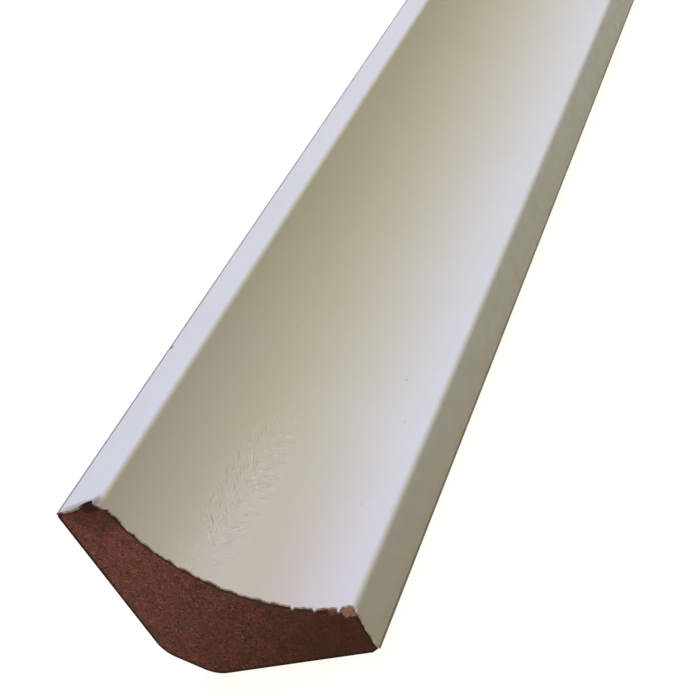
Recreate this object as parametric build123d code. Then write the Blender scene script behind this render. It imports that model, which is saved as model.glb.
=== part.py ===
from build123d import *
import math
import os

# A length of cove moulding for the inside corner between a wall and a floor or worktop.
# It lies on its floor face: X runs along the length, the wall face looks to +Y,
# the floor face looks down, and the hollow looks to -Y and up.
# The origin is under the middle of the strip, on the floor.

# Driving dimensions, in millimetres
length = 1200.0  # stock length, square cut at both ends
leg = 20.0  # reach from each back face to the far lip's edge at the hollow, over the film
lip = 4.9  # height of that edge: the width of the flat lip between the tip and the hollow
lip_lean = 0.35  # how far each lip leans out over that width
cove_depth = 4.1  # how far the hollow dips below the straight line from lip to lip
film = 0.2  # thickness of the film wrapped over the lips and the hollow
back_chamfer = 3.45  # relief that keeps the back corner clear of an uneven wall corner
back_round = 2.8  # easing of the two arrises of that relief
nose_round = 0.3  # easing of the core where each lip meets the hollow
tip_round = 0.2  # easing of the core at each tip, where the film stops

# The film's outside follows the core's rounded noses at its own thickness
film_nose_round = nose_round + film

# The outline turns by an eighth of a circle at each arris of the back relief,
# and each of the two easings there may take nearly half of the cut face
half_turn = math.pi / 8
easing_share = 0.49


def foot(set_back):
    """The width of a back face, out to a tip that is set back from the finished lip."""
    return leg - lip_lean - set_back * math.hypot(1, lip_lean / lip)


def blank(set_back):
    """The strip before its hollow is cut: two square back faces and two leaning lips."""
    width = foot(set_back)
    meet = width / (1 - lip_lean / lip)
    corners = [(0, 0), (width, 0), (meet, meet), (0, width)]
    return Polygon(*[(leg / 2 - across, up) for across, up in corners], align=None)


def hollow(set_back):
    """The circle that cuts the hollow, grown by set_back into the strip."""
    half_chord = (leg - lip) / math.sqrt(2)
    radius = (half_chord**2 + cove_depth**2) / (2 * cove_depth)
    from_backs = (leg + lip) / 2 + (radius - cove_depth) / math.sqrt(2)
    centre = Pos(leg / 2 - from_backs, from_backs)
    return centre * Circle(radius + set_back)


def corner(profile, across, up):
    """The corner of the profile nearest to a place, both measured from the back faces."""
    return profile.vertices().sort_by_distance((leg / 2 - across, up))[0]


def relieved_back(profile):
    """The profile with its back corner cut off and the cut's two arrises eased."""
    cut = chamfer(corner(profile, 0, 0), length=back_chamfer)
    arrises = [corner(cut, back_chamfer, 0), corner(cut, 0, back_chamfer)]
    widest = easing_share * back_chamfer * math.sqrt(2) / math.tan(half_turn)
    return fillet(arrises, radius=min(back_round, widest))


def section(set_back, nose):
    """The strip's outline, set back from the finished lips and hollow, with noses of that radius."""
    profile = relieved_back(blank(set_back) - hollow(set_back))
    inner = leg - set_back
    noses = [corner(profile, inner, lip), corner(profile, lip, inner)]
    return fillet(noses, radius=nose)


def core_section():
    """The fibreboard inside the film, with its two tips eased."""
    profile = section(film, nose_round)
    tips = [corner(profile, foot(film), 0), corner(profile, 0, foot(film))]
    return fillet(tips, radius=tip_round)


def film_section():
    """The film between the finished outline and the core, stopping where the tips round away."""
    skin = section(0, film_nose_round) - section(film, nose_round)
    below = Pos(leg / 2, 0) * Rectangle(leg, tip_round, align=(Align.MAX, Align.MIN))
    behind = Pos(leg / 2, 0) * Rectangle(tip_round, leg, align=(Align.MAX, Align.MIN))
    return skin - below - behind


def strip(profile):
    """The profile run along the whole length, half to each side of the middle."""
    return extrude(Plane.YZ * profile, amount=length / 2, both=True)


nodes = {
    "fibreboard_core": strip(core_section()),
    "foil_wrap": strip(film_section()),
}

os.makedirs("parts", exist_ok=True)
for name, shape in nodes.items():
    export_step(shape, f"parts/{name}.step")
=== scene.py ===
import math

import bpy
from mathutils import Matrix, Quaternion, Vector


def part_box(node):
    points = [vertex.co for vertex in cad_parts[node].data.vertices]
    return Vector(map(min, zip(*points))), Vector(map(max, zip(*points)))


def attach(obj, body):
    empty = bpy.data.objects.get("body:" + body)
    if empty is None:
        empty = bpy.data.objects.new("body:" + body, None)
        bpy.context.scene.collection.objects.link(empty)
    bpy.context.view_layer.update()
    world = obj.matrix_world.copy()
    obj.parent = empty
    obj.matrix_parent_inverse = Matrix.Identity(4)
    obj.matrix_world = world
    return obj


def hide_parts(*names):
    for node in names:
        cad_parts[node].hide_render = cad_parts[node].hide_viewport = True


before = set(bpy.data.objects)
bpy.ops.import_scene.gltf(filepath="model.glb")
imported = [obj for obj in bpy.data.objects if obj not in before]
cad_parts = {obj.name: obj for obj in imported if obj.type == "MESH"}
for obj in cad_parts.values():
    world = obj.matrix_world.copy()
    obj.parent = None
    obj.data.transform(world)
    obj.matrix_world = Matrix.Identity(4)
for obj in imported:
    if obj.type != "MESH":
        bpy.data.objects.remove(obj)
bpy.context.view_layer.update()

# A length of film-wrapped cove trim, seen from its sawn near end.
# X runs along the strip, the wall face looks to +Y, and the hollow looks to -Y and up.
# In the section, "across" is measured from the wall face and "up" from the floor face.

MM = 0.001

# The section, as the strip was milled and wrapped
LEG = 20.0 * MM  # reach from a back face to the far lip's edge
LIP = 4.9 * MM  # width of the flat lip
LIP_LEAN = 0.35 * MM  # how far the lip leans out over that width
COVE_DEPTH = 4.1 * MM  # dip of the hollow below the line from lip to lip
FILM = 0.2 * MM  # thickness of the wrapped film, with its glue
BACK_CHAMFER = 3.45 * MM  # relief on the back corner
BACK_ROUND = 2.8 * MM  # easing of the relief's two arrises
NOSE_ROUND = 0.3 * MM  # easing of the core where lip and hollow meet
TIP_ROUND = 0.2 * MM  # easing of the core's tips, which the film follows

# The saw cut, which leans a little both ways and leaves the film a little short of the board
CUT_IN = 0.87 * MM  # how far the cut stays inside the nominal length at the upper nose
CUT_ACROSS = 0.015  # lean per unit across
CUT_UP = 0.0182  # lean per unit up
FILM_SHORT = 0.1 * MM  # how far the film stops short of the board
TIP_CLEAR = 0.03 * MM  # how far the film, turned round the tips, stops short of the back faces
SAW_TEAR = 0.22 * MM  # relief of the sawn board, from its deepest to its highest
SAW_TEAR_SIZE = 0.3 * MM  # size of that relief's features
COARSE_RAG = 0.35 * MM  # raggedness of the film's edge, coarse and fine, with the size of its teeth
COARSE_TEETH = 0.7 * MM
FINE_RAG = 0.15 * MM
FINE_TEETH = 0.15 * MM
RAG_REACH = 2.0 * MM  # how far inside the cut the film still follows its ragged edge

# Damage at the near cut, each as across, up, half width and depth: film torn back from the board,
# film left standing, and the board's lower tip chipped off
TEARS = (
    (3.45 * MM, 19.9 * MM, 0.8 * MM, 0.3 * MM),
    (19.45 * MM, 4.95 * MM, 0.7 * MM, 0.35 * MM),
    (18.1 * MM, 5.1 * MM, 0.35 * MM, 0.15 * MM),
    (19.6 * MM, 0, 0.8 * MM, 0.25 * MM),
)
FLAPS = (
    (1.9 * MM, 19.8 * MM, 1.3 * MM, 0.25 * MM),
    (4.75 * MM, 19.75 * MM, 0.75 * MM, 0.6 * MM),
    (14.85 * MM, 6.0 * MM, 0.18 * MM, 0.4 * MM),
    (16.6 * MM, 5.4 * MM, 0.2 * MM, 0.35 * MM),
    (18.67 * MM, 5.0 * MM, 0.15 * MM, 0.55 * MM),
)
CHIPS = ((19.6 * MM, 0, 0.5 * MM, 0.4 * MM),)
BREAK_DEPTH = 0.6 * MM  # the deepest of them
BREAK_REACH = 2.5 * MM  # how far inside the cut the strip still follows a break

# Torn fibres on the sawn faces
SLIVER_LENGTH = 0.3 * MM
SLIVER_WIDTH = 0.08 * MM
SLIVER_BOW = 0.04 * MM
SLIVER_ENDS = 0.3  # how thick its ends are, as a share of its middle
SLIVER_SIDES = 5
SLIVER_RINGS = 4  # divisions of a sliver along its length
SLIVER_TILT = 0.16  # how far a fibre may stand out of the cut, in radians
SLIVER_SIZES = (0.45, 1.5)  # the smallest and the largest fibre, as shares of that size
SLIVERS_PER_AREA = 7 / MM**2
SLIVER_SEEDS = (4, 7, 9)  # for the places, the turns and the sizes of the fibres

# The margins of the sawn face, and the film's two long edges
EDGE_CLEAR = 0.3 * MM  # the margin of the sawn face, bare of fibres and less torn
SHADED_RIM = 0.34 * MM  # the margin that shows dark with painted shade
SHADED_RIM_CORE = 0.5  # share of that margin that shows in full
RIM_SPARED = 0.14 * MM  # how much narrower it is under the film
EDGE_SHADE = 0.22 * MM  # how far the film shows dark with painted shade along its long edges
EDGE_SHADE_CORE = 0.4  # share of that painted shade that shows in full
EDGE_SHADE_STRENGTH = 0.88

# How finely the section's outline is divided
LIP_STEPS = 60
NOSE_STEPS = 10
FILM_COVE_STEPS = 400
TIP_STEPS = 8
FLOOR_STEPS = 112
ROUND_STEPS = 14
RELIEF_STEPS = 20
RUNGS = 76  # divisions of the sawn face between the hollow and the back
FILM_ROWS = (0.25 * MM, 0.6 * MM, 1.2 * MM, 2.5 * MM, 8 * MM)
CORE_ROWS = (0.4 * MM, 1.5 * MM, 6 * MM)
MERGE = 0.0005 * MM  # places nearer than this are one

# How squarely a face looks along the strip, from nought to one, when it is the film's cut edge or
# the sawn board
FILM_CUT_FACING = 0.15
SAWN_FACING = 0.9

# The turn between two faces, in degrees, from which the edge between them stays sharp
FILM_CREASE = 40
BOARD_CREASE = 30
FIBRE_CREASE = 60

# Colours, as linear red, green and blue
WHITE = (1, 1, 1, 1)
FILM_COLOUR = (0.785, 0.775, 0.72, 1)
FILM_TINT = (0.77, 0.765, 0.69, 1)
# The next six colours are painted light and shade on the film: warm shade, cool light, a sheen, shade
# on the upper lip and on the upper nose, and a cool highlight on the lower nose
FILM_WARM_SHADE = (0.745, 0.67, 0.6, 1)
FILM_COOL_LIGHT = (0.795, 0.79, 0.845, 1)
FILM_SHEEN = (0.85, 0.835, 0.9, 1)
FILM_UPPER_LIP_SHADE = (0.32, 0.27, 0.24, 1)
FILM_UPPER_NOSE_SHADE = (0.2, 0.1, 0.03, 1)
FILM_LOWER_NOSE_HIGHLIGHT = (0.785, 0.785, 0.83, 1)
# A painted glint for the raised strokes and a painted shade for the sunk ones
FILM_GLINT = (0.97, 0.97, 0.95, 1)
FILM_DENT_SHADE = (0.66, 0.645, 0.6, 1)
# Painted sparkles of light
SPARKLE_COLOUR = (0.97, 0.97, 0.93, 1)
SPECK_COLOUR = (0.12, 0.1, 0.09, 1)
# Painted shade along the film's long edges
EDGE_SHADE_COLOUR = (0.16, 0.155, 0.15, 1)
CUT_FILM_COLOUR = (0.78, 0.73, 0.95, 1)
GLUE_COLOUR = (0.48, 0.4, 0.48, 1)
SAWN_COLOUR = (0.26, 0.092, 0.11, 1)
SAWN_DARK = (0.175, 0.075, 0.07, 1)
# Painted shade towards the lower lip
SAWN_LOW_SHADE = (0.38, 0.36, 0.31, 1)
# For the pits, and for painted shade on the upper lip and under the torn film
PIT_AND_SHADE_COLOUR = (0.05, 0.013, 0.012, 1)
# Painted shade along the sawn face's rim
RIM_SHADE_COLOUR = (0.02, 0.01, 0.009, 1)
FIBRE_COLOUR = (0.38, 0.19, 0.225, 1)
CHIP_COLOUR = (0.46, 0.27, 0.26, 1)
SIDE_MARK_SHADE = (0.63, 0.57, 0.43, 1)  # painted shade for marks on the board's side, which the lights face, so that they look as dark there as on the cut
GLUED_COLOUR = (0.1, 0.062, 0.055, 1)
MILLED_COLOUR = (0.38, 0.24, 0.16, 1)
MILLED_DARK = (0.27, 0.155, 0.1, 1)

# The embossed bands of the hollow that catch the light, where the strokes carry a painted glint and a
# painted shade, each as its middle, half its length and width, and the turn and swing of its strokes in
# degrees
BANDS = (
    ((-589.0 * MM, 2.2 * MM, 11.4 * MM), (13 * MM, 1.9 * MM), 22, 48),
    ((-588.0 * MM, 0.9 * MM, 10.05 * MM), (13 * MM, 1.7 * MM), -56, 44),
)
BAND_FADE = (0.3, 1.1)  # where a band starts to fade and where it ends, as shares of its reach
LONG_STROKE = (0.95 * MM, 1.1 * MM, 0.28 * MM)  # spacing, length and width
SHORT_STROKE = (0.55 * MM, 0.6 * MM, 0.25 * MM)
SUNK_SHIFT = (0.37 * MM, 0.61 * MM, 0)  # how far the sunk strokes' scatter lies from the raised ones'
SUNK_STRENGTH = 0.75  # how plainly the sunk strokes show in their painted shade
STROKES_SPARED = 0.2  # share of any scatter's strokes that don't show

# Relief of the finishes
FILM_RELIEF = 0.04 * MM
GRAIN_SIZE = 0.3 * MM  # size of the film's grain
GRAIN_SHARE = 0.4  # height of the grain, as a share of the strokes' own
SAWN_RELIEF = 0.04 * MM
MILLED_RELIEF = 0.02 * MM

# Fibres and gaps drawn on the sawn board, each as spacing, length, width and shift of its scatter
LONG_FIBRES = (0.6 * MM, 0.95 * MM, 0.16 * MM, (0, 0, 0))
SHORT_FIBRES = (0.3 * MM, 0.4 * MM, 0.15 * MM, (0.23, 0.41, 0))
GAPS = (0.5 * MM, 0.7 * MM, 0.18 * MM, (0.57, 0.13, 0))
FIBRE_STRENGTH = 0.85

# How the sawn board changes on its way up and towards the wall, each from where to where and from how
# much to how much: its painted shade, which darkens it towards the lower lip, and how plainly its
# fibres show below and above the middle
SHADE_CLIMB = (-8 * MM, 22 * MM)
LIVELY_BELOW = (-6 * MM, 6 * MM, 0.08, 1.19)
LIVELY_ABOVE = (8 * MM, 20 * MM, 1, 0.8)

# The milled sides
SPECKLE_SIZE = 0.35 * MM
SPECKLE_SHARE = 0.7  # how much of the tone is speckle, where the rest is cutter marks
CUTTER_MARK_SIZE = 1.1 * MM
CUTTER_MARK_DRAW = 0.02  # how little the marks change along themselves, beside along the feed
MILLED_TONES = (0.35, 0.65)  # the stretch of speckle and marks that goes from dark to light
GLUED = (0.3, 0.8)  # from where to where the glue comes in, as shares of the rim spared by the film

# Cloudy patterns, each as the size of its features, its detail and roughness, the stretch of its
# values that counts, and what that stretch is carried to where it isn't nought to one
FILM_TINTS = (9 * MM, 2, 0.5, 0.35, 0.65)
FILM_GLOSS = (1.2 * MM, 3, 0.5, 0.3, 0.7, 0.36, 0.5)
STROKE_BREAKS = (0.45 * MM, 2, 0.5, 0.3, 0.6, 0.25, 1)
GLUE_STAINS = (0.5 * MM, 3, 0.6, 0.35, 0.6)
FIBRE_CLUMPS = (1.7 * MM, 2, 0.5, 0.38, 0.6, 0.3, 1)
SAWN_HOLES = (0.3 * MM, 3, 0.6, 0.31, 0.43, 0.7, 0)
SAWN_MOTTLE = (1.3 * MM, 3, 0.6, 0.38, 0.62)
FIBRE_SHADES = (0.7 * MM, 1, 0.5, 0.35, 0.65)

# Painted light and shade on the film near the cut, each as middle, reach each way and colour: painted
# warm shade on the lower half of the hollow, painted cool light on the upper half, a painted sheen
# round the bands, and painted shade on the end of the upper lip and on the upper nose at the torn film.
# The last is a painted cool highlight on the lower nose, all along the strip
ALL_ALONG = 6000 * MM
FILM_PAINTED_LIGHT = (
    ((-600 * MM, -5.5 * MM, 7 * MM), (32 * MM, 9 * MM, 7 * MM), FILM_WARM_SHADE),
    ((-600 * MM, 4.5 * MM, 16.5 * MM), (60 * MM, 5 * MM, 6 * MM), FILM_COOL_LIGHT),
    ((-597.5 * MM, 1.5 * MM, 10.7 * MM), (25 * MM, 4.4 * MM, 4.4 * MM), FILM_SHEEN),
    ((-599.15 * MM, 7.3 * MM, 19.85 * MM), (0.95 * MM, 4.2 * MM, 0.6 * MM), FILM_UPPER_LIP_SHADE),
    ((-599.45 * MM, 5.55 * MM, 19.98 * MM), (1.6 * MM, 1 * MM, 0.27 * MM), FILM_UPPER_NOSE_SHADE),
    ((0, -9.95 * MM, 4.55 * MM), (ALL_ALONG, 0.7 * MM, 0.7 * MM), FILM_LOWER_NOSE_HIGHLIGHT),
)

# Marks on the sawn near end, each as across, up, half width, half height, colour and strength: bared
# board on the lower nose and beside it, and painted shade in dark places under the torn film
MARKS = (
    (18.52 * MM, 4.65 * MM, 0.1 * MM, 0.4 * MM, PIT_AND_SHADE_COLOUR, 0.6),
    (19.25 * MM, 4.6 * MM, 0.66 * MM, 0.62 * MM, CHIP_COLOUR, 1.0),
    (18.0 * MM, 4.8 * MM, 0.45 * MM, 0.35 * MM, CHIP_COLOUR, 0.35),
    (17.1 * MM, 4.9 * MM, 0.45 * MM, 0.2 * MM, PIT_AND_SHADE_COLOUR, 0.5),
    (3.45 * MM, 19.45 * MM, 0.85 * MM, 0.45 * MM, PIT_AND_SHADE_COLOUR, 0.9),
)
MARK_DEPTH = 3 * MM  # how far the marks reach in from the cut
MARK_CORE = 0.75  # share of a mark's reach that shows in full

# Painted shade on the upper lip at the near cut, each as across, up, reach and strength
UPPER_LIP_SHADES = (
    (3.45 * MM, 19.8 * MM, 1.1 * MM, 1.0),
    (3.4 * MM, 19.4 * MM, 3.2 * MM, 0.5),
    (0, 19.6 * MM, 0.7 * MM, 0.9),
)
UPPER_LIP_SHADE_CORE = 0.5  # share of a painted shade's reach that shows in full

# Small specks on the film, and painted sparkles of light on it: place, radius, colour and strength
SPECKS_AND_SPARKLES = (
    ((-569.45 * MM, -5.6 * MM, 5.76 * MM), 0.14 * MM, SPECK_COLOUR, 0.6),
    ((-575.6 * MM, -7.18 * MM, 5.3 * MM), 0.16 * MM, SPECK_COLOUR, 0.22),
    ((-586.55 * MM, -6.61 * MM, 5.45 * MM), 0.2 * MM, SPECK_COLOUR, 0.15),
    ((-567.6 * MM, 3.18 * MM, 13.21 * MM), 0.2 * MM, SPECK_COLOUR, 0.15),
    ((-577.06 * MM, 9.6 * MM, 19.69 * MM), 0.35 * MM, SPECK_COLOUR, 1.0),
    # The last three are painted sparkles of light in the bands
    ((-587.03 * MM, 1.44 * MM, 10.59 * MM), 0.2 * MM, SPARKLE_COLOUR, 0.9),
    ((-587.73 * MM, 1.02 * MM, 10.11 * MM), 0.2 * MM, SPARKLE_COLOUR, 0.9),
    ((-594.55 * MM, 1.97 * MM, 11.26 * MM), 0.22 * MM, SPARKLE_COLOUR, 0.7),
)
SPECK_AND_SPARKLE_CORE = 0.4  # share of the radius of each speck and sparkle that shows in full

# The studio
CAMERA_PLACE = Vector((-668.68, -70.5, 66.77)) * MM
CAMERA_AIM = Vector((-568.36, -1.03, 10.04)) * MM
CAMERA_ROLL = math.radians(-31.03)
CAMERA_LENS = 73.95  # millimetres, as is the width of the sensor
SENSOR_WIDTH = 36
CAMERA_SEES = (10 * MM, 20.0)  # from how near to how far

# Each light: which way it lies as lean towards the wall side and towards the far end, in degrees,
# its red, green and blue strength, and its spread in degrees
LIGHTS = {
    "key": ((20, 20), (0.244, 0.352, 0.776), 45),
    "front": ((-20, -35), (0.528, 0.432, 0.152), 45),
}
FILL_COLOUR = (0.12, 0.12, 0.12, 1)  # of the soft light from all round
FLOOR_COLOUR = (0.25, 0.25, 0.21, 1)
FLOOR_GLOW = 0.88  # how white the floor shows by itself, beside what the lights add
FLOOR_SIZE = 8.0
FLOOR_DROP = 0.02 * MM  # how far the floor lies below the strip

# Worked out from the section
SLOPE = LIP_LEAN / LIP
LEAN = math.atan(SLOPE)
QUARTER = math.pi / 2
CORNER = FILM + NOSE_ROUND  # radius of the film over the nose
HALF_CHORD = (LEG - LIP) / math.sqrt(2)
COVE_RADIUS = (HALF_CHORD**2 + COVE_DEPTH**2) / (2 * COVE_DEPTH)
COVE_MIDDLE = (LEG + LIP) / 2 + (COVE_RADIUS - COVE_DEPTH) / math.sqrt(2)
COVE_CENTRE = (COVE_MIDDLE, COVE_MIDDLE)
ROUND_REACH = BACK_ROUND * math.tan(math.pi / 8)

core_low, core_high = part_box("fibreboard_core")
NEAR = core_low.x + CUT_IN
STRIP = core_high.x - CUT_IN - (CUT_ACROSS + CUT_UP) * LEG - NEAR


def spot(across, up):
    """A place in the section at the near cut, before the cut leans."""
    return Vector((NEAR, LEG / 2 - across, up))


CUT_CORNER = spot(LIP, LEG)
CUT_NORMAL = Vector((1, CUT_ACROSS, CUT_UP)).normalized()


def foot(set_back):
    """The width of a back face, out to a tip that is set back from the finished lip."""
    return LEG - LIP_LEAN - set_back * math.hypot(1, SLOPE)


def find_nose_centre():
    """The centre of the lower nose's easing: as far from the lip as from the hollow."""
    reach = COVE_RADIUS + CORNER
    start = foot(CORNER)
    a = 1 + SLOPE**2
    b = 2 * (SLOPE * (start - COVE_MIDDLE) - COVE_MIDDLE)
    c = (start - COVE_MIDDLE) ** 2 + COVE_MIDDLE**2 - reach**2
    up = (-b - math.sqrt(b**2 - 4 * a * c)) / (2 * a)
    return start + SLOPE * up, up


NOSE = find_nose_centre()
TIP = (foot(FILM + TIP_ROUND) + SLOPE * TIP_ROUND, TIP_ROUND)

# Headings turn from +Y towards +Z. The outline climbs the lower lip, turns over the nose,
# rises round the hollow and turns again over the upper nose
LIP_HEADING = QUARTER + LEAN
COVE_HEADING = math.atan2(COVE_MIDDLE - NOSE[1], NOSE[0] - COVE_MIDDLE) - QUARTER
NOSE_TURN = COVE_HEADING - LIP_HEADING
COVE_TURN = QUARTER - 2 * COVE_HEADING
TIP_TURN = QUARTER - LEAN
WRAP_TURN = math.asin((TIP_ROUND - TIP_CLEAR) / (FILM + TIP_ROUND)) - LEAN


def mirrored(place):
    """The upper half's place for one in the lower half, about the section's diagonal."""
    return place[1], place[0]


def off_lip(centre, radius, below=0.0):
    """Where a round about a centre meets the face of the lower lip, or lies at an angle below that."""
    angle = LEAN + below
    return spot(*centre) + radius * Vector((0, -math.cos(angle), -math.sin(angle)))


# Modelling by hand

def deselect_all():
    bpy.ops.object.select_all(action="DESELECT")


def pick(piece):
    """Selects one piece alone and makes it the active one."""
    deselect_all()
    piece.select_set(True)
    bpy.context.view_layer.objects.active = piece


def edit(piece):
    """Opens one piece in edit mode, with nothing in it selected."""
    pick(piece)
    bpy.ops.object.mode_set(mode="EDIT")
    bpy.ops.mesh.select_mode(type="VERT")
    bpy.ops.mesh.select_all(action="DESELECT")


def done_editing():
    bpy.ops.object.mode_set(mode="OBJECT")


def edit_points(piece, wanted):
    """Opens one piece in edit mode, with the wanted vertices selected."""
    edit(piece)
    done_editing()
    for vertex in piece.data.vertices:
        vertex.select = wanted(vertex.co)
    bpy.ops.object.mode_set(mode="EDIT")


def edit_faces(piece, wanted):
    """Opens one piece in edit mode, with the wanted faces selected."""
    edit(piece)
    bpy.ops.mesh.select_mode(type="FACE")
    done_editing()
    for face in piece.data.polygons:
        face.select = wanted(face)
    bpy.ops.object.mode_set(mode="EDIT")


def new_point(name, place):
    """A new piece of one vertex, open in edit mode: a small plane merged to its middle."""
    deselect_all()
    bpy.ops.mesh.primitive_plane_add(size=MM, location=place)
    piece = bpy.context.object
    piece.name = piece.data.name = name
    bpy.ops.object.transform_apply(location=True)
    edit(piece)
    bpy.ops.mesh.select_all(action="SELECT")
    bpy.ops.mesh.merge(type="CENTER")
    return piece


def another_point(place):
    """One more vertex in the open piece, selected as the start of another outline."""
    bpy.ops.mesh.select_all(action="DESELECT")
    bpy.ops.mesh.primitive_plane_add(size=MM, location=place)
    bpy.ops.mesh.merge(type="CENTER")


def straight(heading, distance, steps):
    """Draws a straight stretch of outline from the selected vertex."""
    step = Vector((0, math.cos(heading), math.sin(heading))) * (distance / steps)
    for _ in range(steps):
        bpy.ops.mesh.extrude_region_move(TRANSFORM_OT_translate={"value": step})


def round_about(centre, angle, steps):
    """Draws a round stretch of outline from the selected vertex. Spin turns against its axis."""
    bpy.ops.mesh.spin(steps=steps, angle=angle, center=spot(*centre), axis=(-1, 0, 0))


def nose_and_cove(cove_steps):
    """Draws the outline over the lower nose, round the hollow and over the upper nose."""
    round_about(NOSE, NOSE_TURN, NOSE_STEPS)
    round_about(COVE_CENTRE, COVE_TURN, cove_steps)
    round_about(mirrored(NOSE), NOSE_TURN, NOSE_STEPS)


def lean_cut():
    """Leans the drawn section as the saw left it, about its upper nose. Rotate turns backwards here."""
    bpy.ops.mesh.select_all(action="SELECT")
    bpy.ops.transform.rotate(value=-CUT_ACROSS, orient_axis="Z", center_override=CUT_CORNER)
    bpy.ops.transform.rotate(value=CUT_UP, orient_axis="Y", center_override=CUT_CORNER)


def run_along(length):
    """Draws the leaning section out along the strip."""
    bpy.ops.mesh.select_all(action="SELECT")
    bpy.ops.mesh.extrude_region_move(TRANSFORM_OT_translate={"value": (length, 0, 0)})


def cut_rows(distances):
    """Cuts the open piece across, parallel to the saw cuts and at distances inside them."""
    ends = ((CUT_CORNER, 1), (CUT_CORNER + Vector((STRIP, 0, 0)), -1))
    for corner, inward in ends:
        for distance in distances:
            bpy.ops.mesh.select_all(action="SELECT")
            bpy.ops.mesh.bisect(
                plane_co=corner + Vector((inward * distance, 0, 0)),
                plane_no=CUT_NORMAL,
                threshold=MERGE,
            )


def close_up():
    """Merges doubles in the open piece and turns its faces outwards."""
    bpy.ops.mesh.select_all(action="SELECT")
    bpy.ops.mesh.remove_doubles(threshold=MERGE)
    bpy.ops.mesh.normals_make_consistent(inside=False)


def inside_near_cut(place):
    """How far a place lies inside the near cut, along the strip."""
    return (place - CUT_CORNER).dot(CUT_NORMAL) / CUT_NORMAL.x


def inside_cuts(place):
    """How far a place lies inside the nearer of the two cuts."""
    near = inside_near_cut(place)
    return min(near, STRIP - near)


def broken_back(place, breaks):
    """The share of the deepest break that a place near the near cut takes."""
    inside = max(0, inside_near_cut(place))
    if inside > BREAK_REACH:
        return 0
    share = 0
    for across, up, half_width, depth in breaks:
        away = math.hypot(LEG / 2 - place.y - across, place.z - up) / half_width
        if away < 1:
            share = max(share, depth / BREAK_DEPTH * math.sqrt(1 - away))
    return share * (1 - inside / BREAK_REACH)


def inside_back(across, up):
    """How far a place lies inside the back faces, the relief between them and its eased arrises."""
    beyond = max(across, up) - BACK_CHAMFER - ROUND_REACH
    above = min(across, up) - BACK_ROUND
    if above < beyond < 0:
        return BACK_ROUND - math.hypot(beyond, above)
    return min(across, up, (across + up - BACK_CHAMFER) / math.sqrt(2))


def margin(place, allowance=0.0):
    """How far a place on a sawn face lies inside the board's outline. The allowance is added under
    the film."""
    across, up = LEG / 2 - place.y, place.z
    inner = foot(FILM)
    from_film = min(
        (inner + SLOPE * up - across) * math.cos(LEAN),
        (inner + SLOPE * across - up) * math.cos(LEAN),
        math.hypot(COVE_MIDDLE - across, COVE_MIDDLE - up) - COVE_RADIUS - FILM,
    )
    return max(0, min(inside_back(across, up), from_film + allowance))


def torn_share(place):
    """The share of the saw's tear that a place on the board takes: less at the margins of its cuts,
    and none away from them."""
    if inside_cuts(place) > MERGE:
        return 0
    return min(1, margin(place) / EDGE_CLEAR)


def weigh(piece, name, weight_of):
    """Adds a vertex group whose weights are worked out from the vertices' places."""
    group = piece.vertex_groups.new(name=name)
    for vertex in piece.data.vertices:
        weight = weight_of(vertex.co)
        if weight > 0:
            group.add([vertex.index], weight, "REPLACE")


def store_margins(piece):
    """Keeps the margin of every vertex with the mesh, for the painted shade of the sawn board's rim and
    the glue on the milled sides.
    """
    stored = piece.data.attributes.new("margin", "FLOAT", "POINT")
    margins = [margin(vertex.co, RIM_SPARED) for vertex in piece.data.vertices]
    stored.data.foreach_set("value", margins)


def push(piece, group, amount, texture=None):
    """Moves a group's vertices along the strip, all alike or by a texture about its middle."""
    displace = piece.modifiers.new(group, "DISPLACE")
    displace.direction = "X"
    displace.texture_coords = "LOCAL"
    displace.vertex_group = group
    displace.strength = amount
    displace.mid_level = 0.5 if texture else 0
    displace.texture = texture


def clouds(name, size, depth):
    texture = bpy.data.textures.new(name, "CLOUDS")
    texture.noise_scale = size
    texture.noise_depth = depth
    return texture


def apply_modifiers(piece):
    pick(piece)
    for modifier in list(piece.modifiers):
        bpy.ops.object.modifier_apply(modifier=modifier.name)


def smooth(piece, degrees):
    pick(piece)
    bpy.ops.object.shade_smooth_by_angle(angle=math.radians(degrees))


# Nodes

def add_node(tree, kind, inputs=None, **settings):
    """A node with its settings and inputs. An input is a value or another node's output."""
    made = tree.nodes.new(kind)
    for name, value in settings.items():
        setattr(made, name, value)
    for key, value in (inputs or {}).items():
        if isinstance(value, bpy.types.NodeSocket):
            tree.links.new(value, made.inputs[key])
        else:
            made.inputs[key].default_value = value
    return made


def maths(tree, operation, first, second=0.0):
    return add_node(tree, "ShaderNodeMath", {0: first, 1: second}, operation=operation).outputs[0]


def vector_maths(tree, operation, first, second=(0, 0, 0)):
    made = add_node(tree, "ShaderNodeVectorMath", {0: first, 1: second}, operation=operation)
    return made.outputs["Value" if operation in ("DISTANCE", "LENGTH") else "Vector"]


def remap(tree, value, low, high, to_low=0.0, to_high=1.0):
    """Carries a value from one range to another, smoothly and no further."""
    inputs = {"Value": value, "From Min": low, "From Max": high, "To Min": to_low, "To Max": to_high}
    return add_node(tree, "ShaderNodeMapRange", inputs, interpolation_type="SMOOTHSTEP").outputs[0]


def faded(tree, away, start, end, strength=1.0):
    """What is left of a strength at a distance: all of it up to the start, and none past the end."""
    return remap(tree, away, start, end, strength, 0)


def blend(tree, share, first, second):
    """A colour between two, by a share from nought to one. The node's inputs 6 and 7 take colours,
    and its output 2 gives one."""
    inputs = {0: share, 6: first, 7: second}
    return add_node(tree, "ShaderNodeMix", inputs, data_type="RGBA").outputs[2]


def noise(tree, place, size, detail=2.0, roughness=0.5):
    """Cloudy noise with features of a real size."""
    inputs = {"Vector": place, "Scale": 1 / size, "Detail": detail, "Roughness": roughness}
    return add_node(tree, "ShaderNodeTexNoise", inputs).outputs[0]


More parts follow.
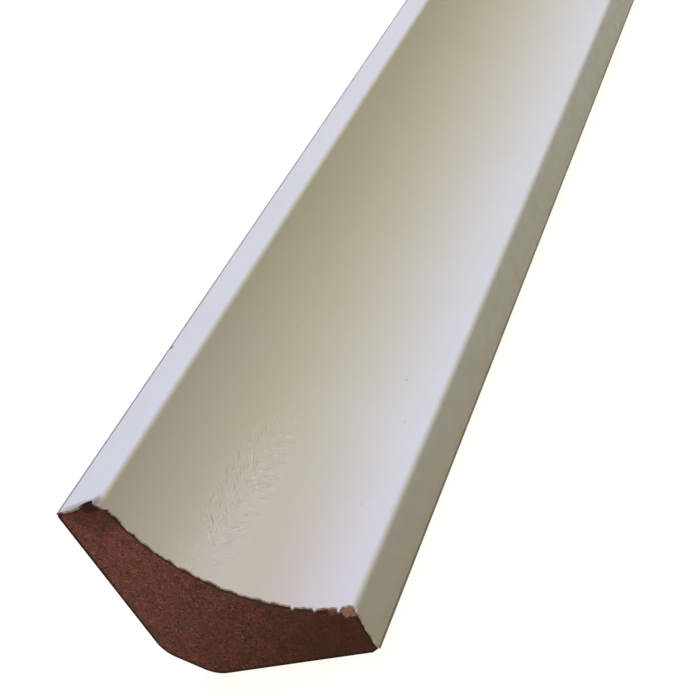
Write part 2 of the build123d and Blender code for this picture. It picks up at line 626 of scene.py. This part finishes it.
def patches(tree, place, size, detail, roughness, low, high, to_low=0.0, to_high=1.0):
    """A cloudy pattern: a stretch of a noise's values, carried to a range of its own."""
    return remap(tree, noise(tree, place, size, detail, roughness), low, high, to_low, to_high)


def flat_place(tree, place, right, up):
    """A place's coordinates along two directions, as a flat vector."""
    first = add_node(tree, "ShaderNodeVectorMath", {0: place, 1: right}, operation="DOT_PRODUCT")
    second = add_node(tree, "ShaderNodeVectorMath", {0: place, 1: up}, operation="DOT_PRODUCT")
    parts = {"X": first.outputs["Value"], "Y": second.outputs["Value"]}
    return add_node(tree, "ShaderNodeCombineXYZ", parts).outputs[0]


def spread_from(tree, place, middle, reach):
    """How far a place lies from a middle, where one is the reach along each axis."""
    offset = vector_maths(tree, "SUBTRACT", place, middle)
    return vector_maths(tree, "LENGTH", vector_maths(tree, "DIVIDE", offset, reach))


def box_spread(tree, place, middle, reach):
    """The same for a reach that is a box."""
    offset = vector_maths(tree, "SUBTRACT", place, middle)
    shares = vector_maths(tree, "ABSOLUTE", vector_maths(tree, "DIVIDE", offset, reach))
    parts = add_node(tree, "ShaderNodeSeparateXYZ", {0: shares}).outputs
    return maths(tree, "MAXIMUM", maths(tree, "MAXIMUM", parts[0], parts[1]), parts[2])


def strokes(tree, flat, spacing, length, width, shift, turn=0.0, swing=math.tau):
    """Short soft strokes, one in each cell of a scatter, each turned its own way within a swing."""
    moved = vector_maths(tree, "ADD", flat, shift)
    cell = {"Vector": moved, "Scale": 1 / spacing}
    cells = add_node(tree, "ShaderNodeTexVoronoi", cell, voronoi_dimensions="2D")
    chance = add_node(tree, "ShaderNodeSeparateXYZ", {0: cells.outputs["Color"]})
    from_middle = vector_maths(tree, "SUBTRACT", moved, cells.outputs["Position"])
    swung = maths(tree, "MULTIPLY", chance.outputs[0], swing)
    own_turn = maths(tree, "SUBTRACT", swung, turn + swing / 2)
    laid = {"Vector": from_middle, "Angle": own_turn}
    turned = add_node(tree, "ShaderNodeVectorRotate", laid, rotation_type="Z_AXIS")
    parts = add_node(tree, "ShaderNodeSeparateXYZ", {0: turned.outputs[0]})
    along = maths(tree, "ABSOLUTE", parts.outputs[0])
    over = maths(tree, "ABSOLUTE", parts.outputs[1])
    inside_length = faded(tree, along, length / 4, length / 2)
    inside_width = faded(tree, over, 0, width / 2)
    shape = maths(tree, "MULTIPLY", inside_length, inside_width)
    return maths(tree, "MULTIPLY", shape, remap(tree, chance.outputs[1], STROKES_SPARED, 1))


def new_material(name, roughness, specular):
    """A material with its shader, its node tree and the place on the piece."""
    material = bpy.data.materials.new(name)
    material.use_nodes = True
    tree = material.node_tree
    shader = tree.nodes["Principled BSDF"]
    shader.inputs["Roughness"].default_value = roughness
    shader.inputs["Specular IOR Level"].default_value = specular
    place = tree.nodes.new("ShaderNodeTexCoord").outputs["Object"]
    return material, tree, shader, place


def bumps(tree, shader, height, rise):
    """Gives the shader a relief of a real height."""
    made = add_node(tree, "ShaderNodeBump", {"Height": height, "Distance": rise, "Strength": 1.0})
    tree.links.new(made.outputs[0], shader.inputs["Normal"])


# Materials

def shaded_at_upper_lip(tree, place, colour):
    """A colour darkened by painted shade in places on the upper lip at the near cut."""
    for across, up, reach, strength in UPPER_LIP_SHADES:
        away = vector_maths(tree, "DISTANCE", place, spot(across, up))
        share = faded(tree, away, UPPER_LIP_SHADE_CORE * reach, reach, strength)
        colour = blend(tree, share, colour, PIT_AND_SHADE_COLOUR)
    return colour


def marked(tree, place, colour, tone=WHITE):
    """A colour with the marks of the near cut over it, each darkened by a painted shade where its face
    looks towards the lights.
    """
    for across, up, half_width, half_height, mark_colour, strength in MARKS:
        away = box_spread(tree, place, spot(across, up), (MARK_DEPTH, half_width, half_height))
        shade = [part * tone_part for part, tone_part in zip(mark_colour, tone)]
        colour = blend(tree, faded(tree, away, MARK_CORE, 1, strength), colour, shade)
    return colour


def climb(tree, place):
    """How far a place lies up and towards the wall, both together: most at the upper lip."""
    made = add_node(tree, "ShaderNodeVectorMath", {0: place, 1: (0, 1, 1)}, operation="DOT_PRODUCT")
    return made.outputs["Value"]


def shaded_towards_lower_lip(tree, place, colour):
    """A colour of the sawn board, which grows darker towards the lower lip with painted shade."""
    tone = remap(tree, climb(tree, place), *SHADE_CLIMB)
    return vector_maths(tree, "MULTIPLY", colour, blend(tree, tone, SAWN_LOW_SHADE, WHITE))


def lively(tree, place):
    """How plainly the sawn board's fibres show: least towards the lower lip, most in the middle."""
    below = remap(tree, climb(tree, place), *LIVELY_BELOW)
    above = remap(tree, climb(tree, place), *LIVELY_ABOVE)
    return maths(tree, "MULTIPLY", below, above)


def embossed_strokes(tree, place, shift):
    """The strokes pressed into the film, broken up a little, which fade away outside the bands that
    catch the light; the raised ones are painted with a glint and the sunk ones with shade. Another
    shift scatters them in other places."""
    up_face = Vector((0, 1, 1)).normalized()
    face = flat_place(tree, place, (1, 0, 0), up_face)
    all_bands = 0.0
    for middle, reach, turn, swing in BANDS:
        laid = (shift, math.radians(turn), math.radians(swing))
        long_strokes = strokes(tree, face, *LONG_STROKE, *laid)
        short_strokes = strokes(tree, face, *SHORT_STROKE, *laid)
        both = maths(tree, "MAXIMUM", long_strokes, short_strokes)
        in_band = flat_place(tree, vector_maths(tree, "SUBTRACT", place, middle), (1, 0, 0), up_face)
        away = vector_maths(tree, "LENGTH", vector_maths(tree, "DIVIDE", in_band, (*reach, 1)))
        band = maths(tree, "MULTIPLY", both, faded(tree, away, *BAND_FADE))
        all_bands = maths(tree, "MAXIMUM", all_bands, band)
    return maths(tree, "MULTIPLY", all_bands, patches(tree, place, *STROKE_BREAKS))


def pale_film():
    """The satin film: faintly uneven in tint and gloss, with a fine grain and strokes pressed in, a few
    specks, painted light and shade near the cut and a painted highlight on the lower nose, painted
    glints and shade on the strokes, painted sparkles, and its two long edges dark with painted shade."""
    material, tree, shader, place = new_material("pale film", roughness=0.42, specular=0.4)
    colour = blend(tree, patches(tree, place, *FILM_TINTS), FILM_COLOUR, FILM_TINT)
    # Painted light and shade near the cut, and a painted highlight on the lower nose
    for middle, reach, part_colour in FILM_PAINTED_LIGHT:
        away = spread_from(tree, place, middle, reach)
        colour = blend(tree, faded(tree, away, 0, 1), colour, part_colour)
    raised = embossed_strokes(tree, place, (0, 0, 0))
    sunk = embossed_strokes(tree, place, SUNK_SHIFT)
    # Painted shade on the sunk strokes and a painted glint on the raised ones
    colour = blend(tree, maths(tree, "MULTIPLY", sunk, SUNK_STRENGTH), colour, FILM_DENT_SHADE)
    colour = blend(tree, raised, colour, FILM_GLINT)
    # Specks, and painted sparkles of light
    for where, radius, dab_colour, strength in SPECKS_AND_SPARKLES:
        away = vector_maths(tree, "DISTANCE", place, where)
        dab = faded(tree, away, SPECK_AND_SPARKLE_CORE * radius, radius, strength)
        colour = blend(tree, dab, colour, dab_colour)
    # Painted shade along the film's two long edges, next to the back faces
    parts = add_node(tree, "ShaderNodeSeparateXYZ", {0: place}).outputs
    from_back = maths(tree, "MINIMUM", maths(tree, "SUBTRACT", LEG / 2, parts[1]), parts[2])
    line_ends = (TIP_ROUND + EDGE_SHADE_CORE * EDGE_SHADE, TIP_ROUND + EDGE_SHADE)
    line = faded(tree, from_back, *line_ends, EDGE_SHADE_STRENGTH)
    colour = blend(tree, line, colour, EDGE_SHADE_COLOUR)
    tree.links.new(colour, shader.inputs["Base Color"])
    tree.links.new(patches(tree, place, *FILM_GLOSS), shader.inputs["Roughness"])
    grain = maths(tree, "MULTIPLY", noise(tree, place, GRAIN_SIZE), GRAIN_SHARE)
    height = maths(tree, "ADD", grain, maths(tree, "SUBTRACT", raised, sunk))
    bumps(tree, shader, height, FILM_RELIEF)
    return material


def cut_film():
    """The film's own cut edge: pale paper, browned in places by glue and dust, and darkened by painted
    shade on the upper lip.
    """
    material, tree, shader, place = new_material("cut film", roughness=0.7, specular=0.2)
    stained = blend(tree, patches(tree, place, *GLUE_STAINS), GLUE_COLOUR, CUT_FILM_COLOUR)
    tree.links.new(shaded_at_upper_lip(tree, place, stained), shader.inputs["Base Color"])
    return material


def sawn_board():
    """The sawn fibreboard: mottled reddish brown with light fibres and dark pits, darkened by painted
    shade towards the lower lip, along its rim, on the upper lip and under the torn film, with bared
    board at the lower nose."""
    material, tree, shader, place = new_material("sawn fibreboard", roughness=0.85, specular=0.2)
    flat = flat_place(tree, place, (0, 1, 0), (0, 0, 1))
    long_fibres = strokes(tree, flat, *LONG_FIBRES)
    short_fibres = strokes(tree, flat, *SHORT_FIBRES)
    fibres = maths(tree, "MAXIMUM", long_fibres, short_fibres)
    fibres = maths(tree, "MULTIPLY", fibres, patches(tree, place, *FIBRE_CLUMPS))
    pits = maths(tree, "MAXIMUM", strokes(tree, flat, *GAPS), patches(tree, place, *SAWN_HOLES))
    colour = blend(tree, patches(tree, place, *SAWN_MOTTLE), SAWN_DARK, SAWN_COLOUR)
    plain = maths(tree, "MULTIPLY", lively(tree, place), FIBRE_STRENGTH)
    colour = blend(tree, maths(tree, "MULTIPLY", fibres, plain), colour, FIBRE_COLOUR)
    colour = blend(tree, maths(tree, "MULTIPLY", pits, plain), colour, PIT_AND_SHADE_COLOUR)
    to_edge = add_node(tree, "ShaderNodeAttribute", attribute_name="margin").outputs["Fac"]
    colour = shaded_towards_lower_lip(tree, place, shaded_at_upper_lip(tree, place, colour))
    # Painted shade along the sawn face's outline and under the film's edge
    colour = blend(tree, faded(tree, to_edge, SHADED_RIM_CORE * SHADED_RIM, SHADED_RIM), colour, RIM_SHADE_COLOUR)
    tree.links.new(marked(tree, place, colour), shader.inputs["Base Color"])
    bumps(tree, shader, maths(tree, "SUBTRACT", fibres, pits), SAWN_RELIEF)
    return material


def milled_board():
    """The milled sides of the fibreboard: lighter and closed, with faint cutter marks across the feed,
    dark with glue under the film, with the marks of the near cut darkened by painted shade where the
    lights face them, and with painted shade on the upper lip."""
    material, tree, shader, place = new_material("milled fibreboard", roughness=0.8, specular=0.1)
    drawn = {"Vector": place, "Scale": (1, CUTTER_MARK_DRAW, CUTTER_MARK_DRAW)}
    along_feed = add_node(tree, "ShaderNodeMapping", drawn).outputs[0]
    marks = noise(tree, along_feed, CUTTER_MARK_SIZE, detail=1)
    marks = maths(tree, "MULTIPLY", marks, 1 - SPECKLE_SHARE)
    speckle = noise(tree, place, SPECKLE_SIZE, detail=3, roughness=0.7)
    shade = maths(tree, "ADD", maths(tree, "MULTIPLY", speckle, SPECKLE_SHARE), marks)
    colour = blend(tree, remap(tree, shade, *MILLED_TONES), MILLED_DARK, MILLED_COLOUR)
    to_back = add_node(tree, "ShaderNodeAttribute", attribute_name="margin").outputs["Fac"]
    glued = remap(tree, to_back, *[share * RIM_SPARED for share in GLUED])
    colour = blend(tree, glued, colour, GLUED_COLOUR)
    colour = marked(tree, place, shaded_at_upper_lip(tree, place, colour), SIDE_MARK_SHADE)
    tree.links.new(colour, shader.inputs["Base Color"])
    bumps(tree, shader, shade, MILLED_RELIEF)
    return material


def torn_fibre():
    """The torn fibres: lighter than the cut they stand on, each a little different, and darkened by
    painted shade towards the lower lip and on the upper lip.
    """
    material, tree, shader, place = new_material("torn fibre", roughness=0.8, specular=0.25)
    shade = maths(tree, "MULTIPLY", patches(tree, place, *FIBRE_SHADES), lively(tree, place))
    colour = shaded_at_upper_lip(tree, place, blend(tree, shade, SAWN_COLOUR, FIBRE_COLOUR))
    tree.links.new(shaded_towards_lower_lip(tree, place, colour), shader.inputs["Base Color"])
    return material


def seen_directly(tree):
    """One for the rays that look at the background, straight or by way of gloss or glass."""
    rays = tree.nodes.new("ShaderNodeLightPath").outputs
    gloss_or_glass = maths(tree, "MAXIMUM", rays["Is Glossy Ray"], rays["Is Transmission Ray"])
    return maths(tree, "MAXIMUM", rays["Is Camera Ray"], gloss_or_glass)


# The pieces

def make_film():
    """The film as one sheet over both lips and the hollow, torn and ragged at the cuts."""
    round_tip = FILM + TIP_ROUND
    lip_length = (off_lip(NOSE, CORNER) - off_lip(TIP, round_tip)).length
    film = new_point("film", off_lip(TIP, round_tip, WRAP_TURN))
    round_about(TIP, -WRAP_TURN, TIP_STEPS)
    straight(LIP_HEADING, lip_length, LIP_STEPS)
    nose_and_cove(FILM_COVE_STEPS)
    straight(-LEAN, lip_length, LIP_STEPS)
    round_about(mirrored(TIP), -WRAP_TURN, TIP_STEPS)
    lean_cut()
    bpy.ops.transform.translate(value=(FILM_SHORT, 0, 0))
    run_along(STRIP - 2 * FILM_SHORT)
    cut_rows(FILM_ROWS)
    close_up()
    done_editing()
    weigh(film, "torn back", lambda place: broken_back(place, TEARS))
    weigh(film, "left standing", lambda place: broken_back(place, FLAPS))
    weigh(film, "ragged edge", lambda place: 1 - inside_cuts(place) / RAG_REACH)
    push(film, "torn back", BREAK_DEPTH)
    push(film, "left standing", -BREAK_DEPTH)
    push(film, "ragged edge", COARSE_RAG, clouds("coarse rag", COARSE_TEETH, depth=1))
    push(film, "ragged edge", FINE_RAG, clouds("fine rag", FINE_TEETH, depth=1))
    thickness = film.modifiers.new("thickness", "SOLIDIFY")
    thickness.thickness = FILM - 2 * MERGE
    thickness.offset = -1
    thickness.use_even_offset = True
    apply_modifiers(film)
    smooth(film, FILM_CREASE)
    film.data.materials.append(pale_film())
    film.data.materials.append(cut_film())
    for face in film.data.polygons:
        face.material_index = 1 if abs(face.normal.x) > FILM_CUT_FACING else 0
    return film


def make_core():
    """The board: its sawn face as a fine grid between the hollow and the back, run along the strip."""
    back_steps = 2 * (TIP_STEPS + FLOOR_STEPS + ROUND_STEPS) + RELIEF_STEPS
    floor_length = TIP[0] - BACK_CHAMFER - ROUND_REACH
    relief_length = BACK_CHAMFER * math.sqrt(2) - 2 * ROUND_REACH
    lower_round = (BACK_CHAMFER + ROUND_REACH, BACK_ROUND)
    core = new_point("fibreboard", off_lip(NOSE, NOSE_ROUND))
    nose_and_cove(back_steps - 2 * NOSE_STEPS)
    another_point(off_lip(TIP, TIP_ROUND))
    round_about(TIP, TIP_TURN, TIP_STEPS)
    straight(0, floor_length, FLOOR_STEPS)
    round_about(lower_round, QUARTER / 2, ROUND_STEPS)
    straight(QUARTER / 2, relief_length, RELIEF_STEPS)
    round_about(mirrored(lower_round), QUARTER / 2, ROUND_STEPS)
    straight(QUARTER, floor_length, FLOOR_STEPS)
    round_about(mirrored(TIP), TIP_TURN, TIP_STEPS)
    bpy.ops.mesh.select_all(action="SELECT")
    bpy.ops.mesh.bridge_edge_loops(number_cuts=RUNGS - 1, interpolation="LINEAR")
    lean_cut()
    run_along(STRIP)
    cut_rows(CORE_ROWS)
    close_up()
    done_editing()
    core.data.materials.append(milled_board())
    core.data.materials.append(sawn_board())
    for face in core.data.polygons:
        face.material_index = 1 if abs(face.normal.x) > SAWN_FACING else 0
    weigh(core, "chipped", lambda place: broken_back(place, CHIPS))
    weigh(core, "sawn faces", torn_share)
    push(core, "chipped", BREAK_DEPTH)
    push(core, "sawn faces", SAW_TEAR, clouds("saw tear", SAW_TEAR_SIZE, depth=3))
    apply_modifiers(core)
    store_margins(core)
    smooth(core, BOARD_CREASE)
    return core


def make_sliver():
    """One torn fibre: a thin rod, bowed and thickest in the middle, made along Z."""
    deselect_all()
    bpy.ops.mesh.primitive_cylinder_add(
        vertices=SLIVER_SIDES, radius=SLIVER_WIDTH / 2, depth=SLIVER_LENGTH
    )
    sliver = bpy.context.object
    edit(sliver)
    levels = [SLIVER_LENGTH * (ring / SLIVER_RINGS - 0.5) for ring in range(SLIVER_RINGS + 1)]
    for level in levels[1:-1]:
        bpy.ops.mesh.select_all(action="SELECT")
        bpy.ops.mesh.bisect(plane_co=(0, 0, level), plane_no=(0, 0, 1), threshold=MERGE)
    done_editing()
    for level in levels:
        rest = 1 - (2 * level / SLIVER_LENGTH) ** 2
        girth = SLIVER_ENDS + (1 - SLIVER_ENDS) * rest
        edit_points(sliver, lambda place: abs(place.z - level) < MERGE)
        bpy.ops.transform.resize(value=(girth, girth, 1), center_override=(0, 0, level))
        bpy.ops.transform.translate(value=(0, SLIVER_BOW * rest, 0))
        done_editing()
    return sliver


def strew(sliver):
    """Nodes that strew copies of a sliver over a piece's faces and keep the copies alone."""
    places_seed, turns_seed, sizes_seed = SLIVER_SEEDS
    smallest, largest = SLIVER_SIZES
    tree = bpy.data.node_groups.new("strewn fibres", "GeometryNodeTree")
    tree.interface.new_socket("Faces", in_out="INPUT", socket_type="NodeSocketGeometry")
    tree.interface.new_socket("Fibres", in_out="OUTPUT", socket_type="NodeSocketGeometry")
    faces = tree.nodes.new("NodeGroupInput").outputs[0]
    spread = {"Mesh": faces, "Density": SLIVERS_PER_AREA, "Seed": places_seed}
    points = add_node(tree, "GeometryNodeDistributePointsOnFaces", spread).outputs["Points"]
    one = add_node(tree, "GeometryNodeObjectInfo", {"Object": sliver}).outputs["Geometry"]
    turns = {
        0: (0, -SLIVER_TILT, -SLIVER_TILT),
        1: (math.tau, SLIVER_TILT, SLIVER_TILT),
        "Seed": turns_seed,
    }
    turned = add_node(tree, "FunctionNodeRandomValue", turns, data_type="FLOAT_VECTOR").outputs[0]
    sizes = {2: smallest, 3: largest, "Seed": sizes_seed}
    sized = add_node(tree, "FunctionNodeRandomValue", sizes, data_type="FLOAT").outputs[1]
    copies = {"Points": points, "Instance": one, "Rotation": turned, "Scale": sized}
    placed = add_node(tree, "GeometryNodeInstanceOnPoints", copies).outputs[0]
    real = add_node(tree, "GeometryNodeRealizeInstances", {0: placed}).outputs[0]
    tree.links.new(real, tree.nodes.new("NodeGroupOutput").inputs[0])
    return tree


def make_fibres(core):
    """Torn fibres strewn over both sawn faces, half sunk in them and clear of their edges."""
    sliver = make_sliver()
    pick(core)
    bpy.ops.object.duplicate()
    fibres = bpy.context.object
    fibres.name = fibres.data.name = "torn_fibres"
    edit_faces(fibres, lambda face: face.material_index == 0 or margin(face.center) < EDGE_CLEAR)
    bpy.ops.mesh.delete(type="FACE")
    done_editing()
    fibres.modifiers.new("strewn fibres", "NODES").node_group = strew(sliver)
    apply_modifiers(fibres)
    fibres.data.materials.clear()
    fibres.data.materials.append(torn_fibre())
    smooth(fibres, FIBRE_CREASE)
    bpy.data.objects.remove(sliver)
    return fibres


# The studio

def make_floor():
    """A pale floor that stays white where it is open and keeps the strip's soft shadow."""
    deselect_all()
    bpy.ops.mesh.primitive_plane_add(size=FLOOR_SIZE, location=(0, 0, -FLOOR_DROP))
    floor = bpy.context.object
    floor.name = "floor"
    material = bpy.data.materials.new("pale floor")
    material.use_nodes = True
    tree = material.node_tree
    tree.nodes.clear()
    paint = add_node(tree, "ShaderNodeBsdfDiffuse", {"Color": FLOOR_COLOUR})
    strength = maths(tree, "MULTIPLY", seen_directly(tree), FLOOR_GLOW)
    glow = add_node(tree, "ShaderNodeEmission", {"Strength": strength})
    both = add_node(tree, "ShaderNodeAddShader", {0: paint.outputs[0], 1: glow.outputs[0]})
    add_node(tree, "ShaderNodeOutputMaterial", {"Surface": both.outputs[0]})
    floor.data.materials.append(material)


def light_world():
    """A soft fill from all round, behind a white background."""
    world = bpy.data.worlds.new("studio")
    bpy.context.scene.world = world
    world.use_nodes = True
    tree = world.node_tree
    colour = blend(tree, seen_directly(tree), FILL_COLOUR, WHITE)
    tree.links.new(colour, tree.nodes["Background"].inputs["Color"])


def light_strip():
    """Broad lights from above: a cool one a little behind the wall face and a warm one in front. A sun
    of energy pi lights a surface that faces it as bright as its colour."""
    for name, ((to_wall, to_far), strength, spread) in LIGHTS.items():
        bpy.ops.object.light_add(type="SUN", location=(0, 0, 1))
        light = bpy.context.object
        light.name = name
        to_wall, to_far = math.radians(to_wall), math.radians(to_far)
        beside = math.cos(to_far)
        source = Vector((math.sin(to_far), beside * math.sin(to_wall), beside * math.cos(to_wall)))
        light.rotation_euler = source.to_track_quat("Z", "Y").to_euler()
        light.data.energy = math.pi * max(strength)
        light.data.color = [part / max(strength) for part in strength]
        light.data.angle = math.radians(spread)


def place_camera():
    data = bpy.data.cameras.new("camera")
    camera = bpy.data.objects.new("camera", data)
    bpy.context.scene.collection.objects.link(camera)
    data.sensor_width = SENSOR_WIDTH
    data.lens = CAMERA_LENS
    data.clip_start, data.clip_end = CAMERA_SEES
    aim = (CAMERA_AIM - CAMERA_PLACE).to_track_quat("-Z", "Y")
    camera.rotation_mode = "QUATERNION"
    camera.rotation_quaternion = aim @ Quaternion((0, 0, 1), CAMERA_ROLL)
    camera.location = CAMERA_PLACE
    bpy.context.scene.camera = camera


film = make_film()
core = make_core()
fibres = make_fibres(core)

for piece, slot in ((film, "wrap_film"), (core, "fibreboard"), (fibres, "fibreboard")):
    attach(piece, "root")
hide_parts("foil_wrap")
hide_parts("fibreboard_core")

make_floor()
light_world()
light_strip()
place_camera()
bpy.context.scene.view_settings.view_transform = "Standard"
